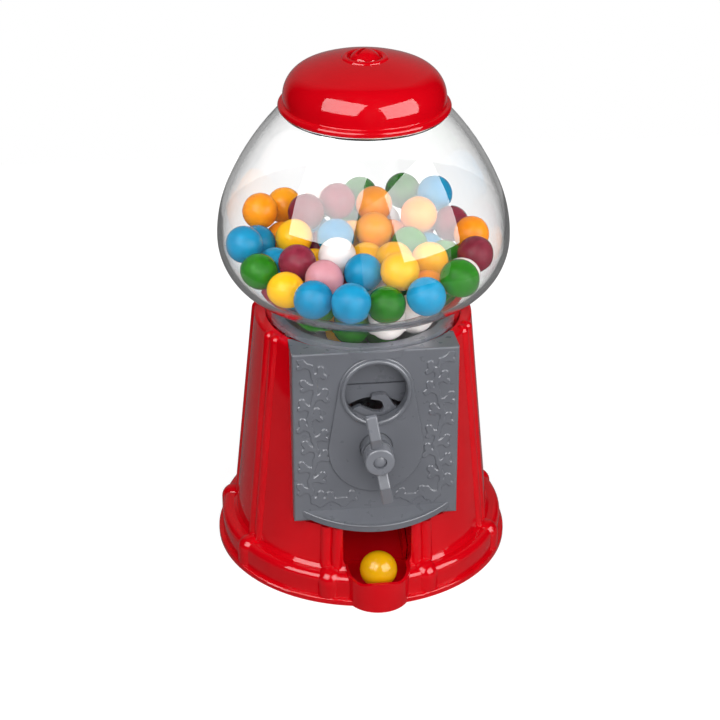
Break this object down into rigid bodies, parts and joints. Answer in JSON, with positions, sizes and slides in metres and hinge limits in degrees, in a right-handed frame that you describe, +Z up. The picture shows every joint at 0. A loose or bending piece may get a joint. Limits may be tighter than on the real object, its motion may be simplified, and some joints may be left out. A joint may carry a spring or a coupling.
{
  "type": "gumball machine",
  "caption": "Toy gumball machine: red ribbed column base with a grey coin plate and turning handle, clear globe of gumballs, domed red lid and a front tray.",
  "frame": {"origin": "on the column's axis, on the flat underside that the machine stands on", "axes": "+Z up along the column, -Y towards the front plate and tray, +X to the right seen from the front"},
  "size_m": [0.116, 0.1207, 0.2029],
  "materials": {
    "red_plastic": "glossy injection-moulded red plastic",
    "grey_plastic": "satin silver-grey moulded plastic",
    "black_plastic": "matt black moulded plastic",
    "white_plastic": "natural white moulded plastic",
    "clear_plastic": "clear moulded polystyrene",
    "steel": "plain bright steel",
    "candy_yellow": "glazed candy shell",
    "candy_orange": "glazed candy shell",
    "candy_blue": "glazed candy shell",
    "candy_green": "glazed candy shell",
    "candy_white": "glazed candy shell",
    "candy_purple": "glazed candy shell",
    "candy_pink": "glazed candy shell"
  },
  "bodies": {
    "machine": {"base_shell": "red_plastic", "front_plate": "grey_plastic", "coin_guide": "grey_plastic", "mech_cover": "grey_plastic", "panel_screws": "steel", "front_bush": "grey_plastic", "hopper": "grey_plastic", "drum_cradle": "white_plastic", "cradle_screws": "steel", "hopper_screws": "steel", "chute_ramp": "red_plastic", "bottom_cover": "black_plastic", "cover_screws": "steel", "globe": "clear_plastic", "gumballs_yellow": "candy_yellow", "gumballs_orange": "candy_orange", "gumballs_blue": "candy_blue", "gumballs_green": "candy_green", "gumballs_white": "candy_white", "gumballs_purple": "candy_purple", "gumballs_pink": "candy_pink", "gumball_in_tray": "candy_yellow"},
    "handle": {"turn_handle": "grey_plastic", "handle_screw": "grey_plastic", "drive_shaft": "steel", "coin_wheel": "grey_plastic", "dispensing_drum": "white_plastic", "shaft_clip": "steel", "thrust_washer": "white_plastic"},
    "lid": {"lid_cap": "red_plastic", "lid_button": "red_plastic"},
    "plug": {"coin_plug": "black_plastic"}
  },
  "joints": [
    {"name": "handle_turn", "type": "hinge", "parent": "machine", "child": "handle", "pos_m": [0, -0.0465, 0.061], "axis": [0, 1, 0], "continuous": true},
    {"name": "lid_lift", "type": "slide", "parent": "machine", "child": "lid", "axis": [0, 0, 1], "range_m": [0, 0.06]},
    {"name": "plug_pull", "type": "slide", "parent": "machine", "child": "plug", "axis": [0, 0, -1], "range_m": [0, 0.015]}
  ]
}
